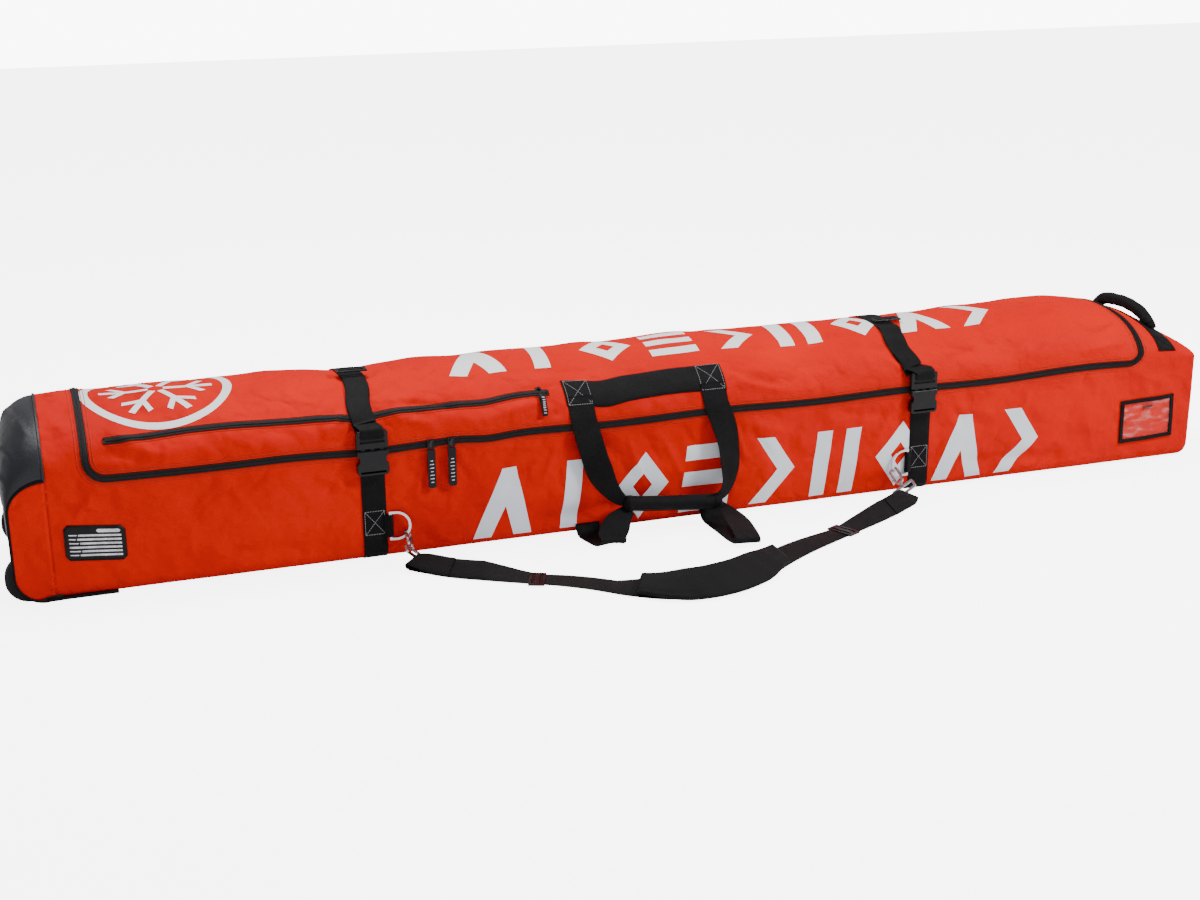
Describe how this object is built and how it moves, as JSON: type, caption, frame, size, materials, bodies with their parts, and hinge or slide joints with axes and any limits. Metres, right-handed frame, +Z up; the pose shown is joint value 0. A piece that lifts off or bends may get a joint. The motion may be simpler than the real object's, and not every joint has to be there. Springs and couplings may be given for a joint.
{
  "type": "ski bag",
  "caption": "Long wheeled ski bag with hinged zip-open lid, compression straps with side-release buckles, carry handles, grab handle and clip-on padded shoulder strap.",
  "frame": {"origin": "middle of the flat underside, on the floor the bag lies on", "axes": "+X along the bag towards the grab-handle end, with the wheels at the -X end; +Y towards the hinge side, so the carry handles face -Y; +Z up"},
  "size_m": [2.1846, 0.6757, 0.2931],
  "materials": {
    "shell_red": "woven polyester, satin",
    "gusset_grey": "coated dark grey fabric",
    "zip_tape": "woven tape with coil zip",
    "webbing": "ribbed webbing",
    "padding": "padded fabric",
    "buckle_plastic": "moulded acetal",
    "hardware_metal": "nickel plated",
    "axle_steel": "plain",
    "moulded_black": "textured",
    "tyre": "matte",
    "zip_slider": "black",
    "pull_tag": "moulded tag",
    "window": "bound clear sheet"
  },
  "bodies": {
    "root": {"bottom_panel": "shell_red", "front_panel": "shell_red", "back_panel": "shell_red", "wheel_end_panel": "gusset_grey", "top_strip": "shell_red", "grab_end_panel": "shell_red", "zipper_lower_tape": "zip_tape", "end_piping_front": "zip_tape", "end_piping_back": "zip_tape", "wheel_housing_front": "moulded_black", "wheel_housing_back": "moulded_black", "axle_front": "axle_steel", "axle_back": "axle_steel", "skid_plate": "moulded_black", "id_window": "window", "end_handle_band": "webbing", "shoulder_web": "webbing", "shoulder_pad": "padding", "strap_sling_left": "webbing", "buckle_socket_left": "buckle_plastic", "d_ring_left": "hardware_metal", "ring_tab_left": "webbing", "snap_hook_left": "hardware_metal", "lower_web_left": "webbing", "shoulder_slide_left": "buckle_plastic", "strap_sling_right": "webbing", "buckle_socket_right": "buckle_plastic", "d_ring_right": "hardware_metal", "ring_tab_right": "webbing", "snap_hook_right": "hardware_metal", "lower_web_right": "webbing", "shoulder_slide_right": "buckle_plastic"},
    "lid": {"lid_panel": "shell_red", "zipper_upper_tape": "zip_tape", "pocket_zipper": "zip_tape", "carry_handle_band": "webbing", "strap_over_left": "webbing", "strap_over_right": "webbing", "strap_adjuster_left": "buckle_plastic", "strap_adjuster_right": "buckle_plastic"},
    "wheel_front": {"wheel_hub_front": "moulded_black", "wheel_tyre_front": "tyre"},
    "wheel_back": {"wheel_hub_back": "moulded_black", "wheel_tyre_back": "tyre"},
    "carry_handle": {"handle_web_left": "webbing", "handle_web_right": "webbing", "handle_grip": "padding"},
    "end_handle": {"end_handle_grip": "padding"},
    "pocket_slider": {"pocket_slider": "zip_slider"},
    "pocket_pull": {"pocket_pull": "pull_tag"},
    "slider_left": {"slider_left": "zip_slider"},
    "pull_left": {"pull_left": "pull_tag"},
    "buckle_left": {"buckle_plug_left": "buckle_plastic"},
    "gate_left": {"hook_gate_left": "hardware_metal"},
    "slider_right": {"slider_right": "zip_slider"},
    "pull_right": {"pull_right": "pull_tag"},
    "buckle_right": {"buckle_plug_right": "buckle_plastic"},
    "gate_right": {"hook_gate_right": "hardware_metal"}
  },
  "joints": [
    {"name": "lid_hinge", "type": "hinge", "parent": "root", "child": "lid", "pos_m": [0, 0.158, 0.194], "axis": [-1, 0, 0], "range_deg": [0, 105]},
    {"name": "wheel_front_spin", "type": "hinge", "parent": "root", "child": "wheel_front", "pos_m": [-1.062, -0.135, 0.0379], "axis": [0, 1, 0], "continuous": true},
    {"name": "wheel_back_spin", "type": "hinge", "parent": "root", "child": "wheel_back", "pos_m": [-1.062, 0.135, 0.0379], "axis": [0, 1, 0], "continuous": true},
    {"name": "carry_handle_swing", "type": "hinge", "parent": "lid", "child": "carry_handle", "pos_m": [0, -0.1555, 0.224], "axis": [-1, 0, 0], "range_deg": [0, 120]},
    {"name": "end_handle_fold", "type": "hinge", "parent": "root", "child": "end_handle", "pos_m": [1.03, 0, 0.255], "axis": [0, 1, 0], "range_deg": [0, 95]},
    {"name": "pocket_slide", "type": "slide", "parent": "lid", "child": "pocket_slider", "axis": [1, 0, 0], "range_m": [-0.255, 0]},
    {"name": "pocket_pull_swing", "type": "hinge", "parent": "pocket_slider", "child": "pocket_pull", "pos_m": [-0.219, -0.12532, 0.25714], "axis": [-1, 0, 0], "range_deg": [0, 150]},
    {"name": "zip_slide_left", "type": "slide", "parent": "root", "child": "slider_left", "axis": [1, 0, 0], "range_m": [-0.055, 0.008]},
    {"name": "pull_swing_left", "type": "hinge", "parent": "slider_left", "child": "pull_left", "pos_m": [-0.417, -0.1646, 0.19675], "axis": [-1, 0, 0], "range_deg": [0, 150]},
    {"name": "buckle_release_left", "type": "slide", "parent": "lid", "child": "buckle_left", "axis": [0, 0, 1], "range_m": [0, 0.035]},
    {"name": "gate_left_swing", "type": "hinge", "parent": "root", "child": "gate_left", "pos_m": [-0.46647, -0.18526, 0.0399], "axis": [-0.7894, 0.354, -0.5016], "range_deg": [0, 15], "stiffness_Nm_per_rad": 0.05, "springref_deg": -11.46},
    {"name": "zip_slide_right", "type": "slide", "parent": "root", "child": "slider_right", "axis": [1, 0, 0], "range_m": [-0.008, 0.175]},
    {"name": "pull_swing_right", "type": "hinge", "parent": "slider_right", "child": "pull_right", "pos_m": [-0.382, -0.1646, 0.19675], "axis": [-1, 0, 0], "range_deg": [0, 150]},
    {"name": "buckle_release_right", "type": "slide", "parent": "lid", "child": "buckle_right", "axis": [0, 0, 1], "range_m": [0, 0.035]},
    {"name": "gate_right_swing", "type": "hinge", "parent": "root", "child": "gate_right", "pos_m": [0.43778, -0.17885, 0.03055], "axis": [0.7678, 0.4467, -0.4593], "range_deg": [0, 15], "stiffness_Nm_per_rad": 0.05, "springref_deg": -11.46}
  ]
}
